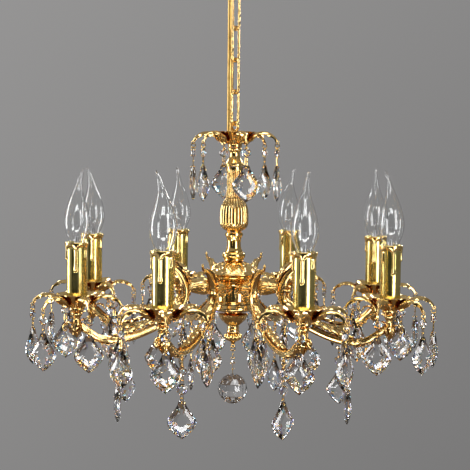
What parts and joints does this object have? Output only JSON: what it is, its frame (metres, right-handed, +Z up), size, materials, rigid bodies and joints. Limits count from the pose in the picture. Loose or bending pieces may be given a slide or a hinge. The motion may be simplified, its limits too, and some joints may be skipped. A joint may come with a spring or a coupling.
{
  "type": "multi arm chandelier",
  "caption": "Hanging candle chandelier: cast brass scroll arms round a turned column, drip pans with crystal drops, bent-tip bulbs, hung on a chain.",
  "frame": {"origin": "centre of the flat top face of the ceiling bracket, where it meets the ceiling", "axes": "+Z up along the chain and the column; -Y is the front, and two arms stand 22.5 degrees to each side of it"},
  "size_m": [0.5442, 0.5442, 0.6699],
  "materials": {
    "polished_brass": "polished and lacquered gold brass",
    "cast_brass": "cast, gold plated, darker in the recesses",
    "chain_brass": "hammered bright gold plate",
    "candle_gold": "mirror gold with satin gold wax drips",
    "gold_cable": "transparent sheath over gold braid",
    "bulb_glass": "clear lamp glass with a nickel screw cap",
    "crystal": "clear cut lead crystal",
    "steel": "zinc plated",
    "white_plastic": "moulded"
  },
  "bodies": {
    "ceiling": {"ceiling_bracket": "steel", "terminal_block": "white_plastic", "supply_cable": "gold_cable"},
    "canopy": {"ceiling_canopy": "polished_brass"},
    "link_5": {"chain_link_5": "chain_brass"},
    "link_4": {"chain_link_4": "chain_brass"},
    "link_3": {"chain_link_3": "chain_brass"},
    "link_2": {"chain_link_2": "chain_brass"},
    "link_1": {"chain_link_1": "chain_brass"},
    "lamp": {"hanging_loop": "polished_brass", "crown_pan": "cast_brass", "column_bell": "polished_brass", "column_vase": "polished_brass", "column_neck": "polished_brass", "hub_dome": "cast_brass", "hub_body": "polished_brass", "hub_base": "cast_brass", "finial": "polished_brass", "central_tube": "steel", "arm_1": "cast_brass", "bobeche_1": "cast_brass", "candle_sleeve_1": "candle_gold", "arm_2": "cast_brass", "bobeche_2": "cast_brass", "candle_sleeve_2": "candle_gold", "arm_3": "cast_brass", "bobeche_3": "cast_brass", "candle_sleeve_3": "candle_gold", "arm_4": "cast_brass", "bobeche_4": "cast_brass", "candle_sleeve_4": "candle_gold", "arm_5": "cast_brass", "bobeche_5": "cast_brass", "candle_sleeve_5": "candle_gold", "arm_6": "cast_brass", "bobeche_6": "cast_brass", "candle_sleeve_6": "candle_gold", "arm_7": "cast_brass", "bobeche_7": "cast_brass", "candle_sleeve_7": "candle_gold", "arm_8": "cast_brass", "bobeche_8": "cast_brass", "candle_sleeve_8": "candle_gold"},
    "bulb_1": {"bulb_1": "bulb_glass"},
    "bulb_2": {"bulb_2": "bulb_glass"},
    "bulb_3": {"bulb_3": "bulb_glass"},
    "bulb_4": {"bulb_4": "bulb_glass"},
    "bulb_5": {"bulb_5": "bulb_glass"},
    "bulb_6": {"bulb_6": "bulb_glass"},
    "bulb_7": {"bulb_7": "bulb_glass"},
    "bulb_8": {"bulb_8": "bulb_glass"},
    "drop_1": {"lower_drop_1": "crystal"},
    "drop_2": {"lower_drop_2": "crystal"},
    "drop_3": {"lower_drop_3": "crystal"},
    "drop_4": {"lower_drop_4": "crystal"},
    "drop_5": {"lower_drop_5": "crystal"},
    "drop_6": {"lower_drop_6": "crystal"},
    "drop_7": {"lower_drop_7": "crystal"},
    "drop_8": {"lower_drop_8": "crystal"},
    "ball": {"crystal_ball": "crystal"}
  },
  "joints": [
    {"name": "canopy_slide", "type": "slide", "parent": "ceiling", "child": "canopy", "axis": [0, 0, 1], "range_m": [-0.025, 0]},
    {"name": "link_5_swing", "type": "hinge", "parent": "ceiling", "child": "link_5", "pos_m": [0, 0, -0.04075], "axis": [0.7071, -0.7071, 0], "range_deg": [-6, 6], "deforming": ["supply_cable"]},
    {"name": "link_4_swing", "type": "hinge", "parent": "link_5", "child": "link_4", "pos_m": [0, 0, -0.084], "axis": [0.7071, 0.7071, 0], "range_deg": [-10, 10], "deforming": ["supply_cable"]},
    {"name": "link_3_swing", "type": "hinge", "parent": "link_4", "child": "link_3", "pos_m": [0, 0, -0.128], "axis": [0.7071, -0.7071, 0], "range_deg": [-10, 10], "deforming": ["supply_cable"]},
    {"name": "link_2_swing", "type": "hinge", "parent": "link_3", "child": "link_2", "pos_m": [0, 0, -0.172], "axis": [0.7071, 0.7071, 0], "range_deg": [-10, 10], "deforming": ["supply_cable"]},
    {"name": "link_1_swing", "type": "hinge", "parent": "link_2", "child": "link_1", "pos_m": [0, 0, -0.216], "axis": [0.7071, -0.7071, 0], "range_deg": [-10, 10], "deforming": ["supply_cable"]},
    {"name": "lamp_swing", "type": "hinge", "parent": "link_1", "child": "lamp", "pos_m": [0, 0, -0.26], "axis": [0.7071, 0.7071, 0], "range_deg": [-10, 10], "deforming": ["supply_cable"]},
    {"name": "bulb_1_turn", "type": "hinge", "parent": "lamp", "child": "bulb_1", "pos_m": [0.08687, -0.20972, -0.42], "axis": [0, 0, 1], "range_deg": [0, 900]},
    {"name": "bulb_2_turn", "type": "hinge", "parent": "lamp", "child": "bulb_2", "pos_m": [0.20972, -0.08687, -0.42], "axis": [0, 0, 1], "range_deg": [0, 900]},
    {"name": "bulb_3_turn", "type": "hinge", "parent": "lamp", "child": "bulb_3", "pos_m": [0.20972, 0.08687, -0.42], "axis": [0, 0, 1], "range_deg": [0, 900]},
    {"name": "bulb_4_turn", "type": "hinge", "parent": "lamp", "child": "bulb_4", "pos_m": [0.08687, 0.20972, -0.42], "axis": [0, 0, 1], "range_deg": [0, 900]},
    {"name": "bulb_5_turn", "type": "hinge", "parent": "lamp", "child": "bulb_5", "pos_m": [-0.08687, 0.20972, -0.42], "axis": [0, 0, 1], "range_deg": [0, 900]},
    {"name": "bulb_6_turn", "type": "hinge", "parent": "lamp", "child": "bulb_6", "pos_m": [-0.20972, 0.08687, -0.42], "axis": [0, 0, 1], "range_deg": [0, 900]},
    {"name": "bulb_7_turn", "type": "hinge", "parent": "lamp", "child": "bulb_7", "pos_m": [-0.20972, -0.08687, -0.42], "axis": [0, 0, 1], "range_deg": [0, 900]},
    {"name": "bulb_8_turn", "type": "hinge", "parent": "lamp", "child": "bulb_8", "pos_m": [-0.08687, -0.20972, -0.42], "axis": [0, 0, 1], "range_deg": [0, 900]},
    {"name": "drop_1_swing", "type": "hinge", "parent": "lamp", "child": "drop_1", "pos_m": [0.06506, -0.15706, -0.5644], "axis": [0.9239, 0.3827, 0], "range_deg": [-20, 20]},
    {"name": "drop_2_swing", "type": "hinge", "parent": "lamp", "child": "drop_2", "pos_m": [0.15706, -0.06506, -0.5644], "axis": [0.3827, 0.9239, 0], "range_deg": [-20, 20]},
    {"name": "drop_3_swing", "type": "hinge", "parent": "lamp", "child": "drop_3", "pos_m": [0.15706, 0.06506, -0.5644], "axis": [-0.3827, 0.9239, 0], "range_deg": [-20, 20]},
    {"name": "drop_4_swing", "type": "hinge", "parent": "lamp", "child": "drop_4", "pos_m": [0.06506, 0.15706, -0.5644], "axis": [-0.9239, 0.3827, 0], "range_deg": [-20, 20]},
    {"name": "drop_5_swing", "type": "hinge", "parent": "lamp", "child": "drop_5", "pos_m": [-0.06506, 0.15706, -0.5644], "axis": [-0.9239, -0.3827, 0], "range_deg": [-20, 20]},
    {"name": "drop_6_swing", "type": "hinge", "parent": "lamp", "child": "drop_6", "pos_m": [-0.15706, 0.06506, -0.5644], "axis": [-0.3827, -0.9239, 0], "range_deg": [-20, 20]},
    {"name": "drop_7_swing", "type": "hinge", "parent": "lamp", "child": "drop_7", "pos_m": [-0.15706, -0.06506, -0.5644], "axis": [0.3827, -0.9239, 0], "range_deg": [-20, 20]},
    {"name": "drop_8_swing", "type": "hinge", "parent": "lamp", "child": "drop_8", "pos_m": [-0.06506, -0.15706, -0.5644], "axis": [0.9239, -0.3827, 0], "range_deg": [-20, 20]},
    {"name": "ball_swing", "type": "hinge", "parent": "lamp", "child": "ball", "pos_m": [0, 0, -0.5729], "axis": [0, 1, 0], "range_deg": [-15, 15]}
  ]
}
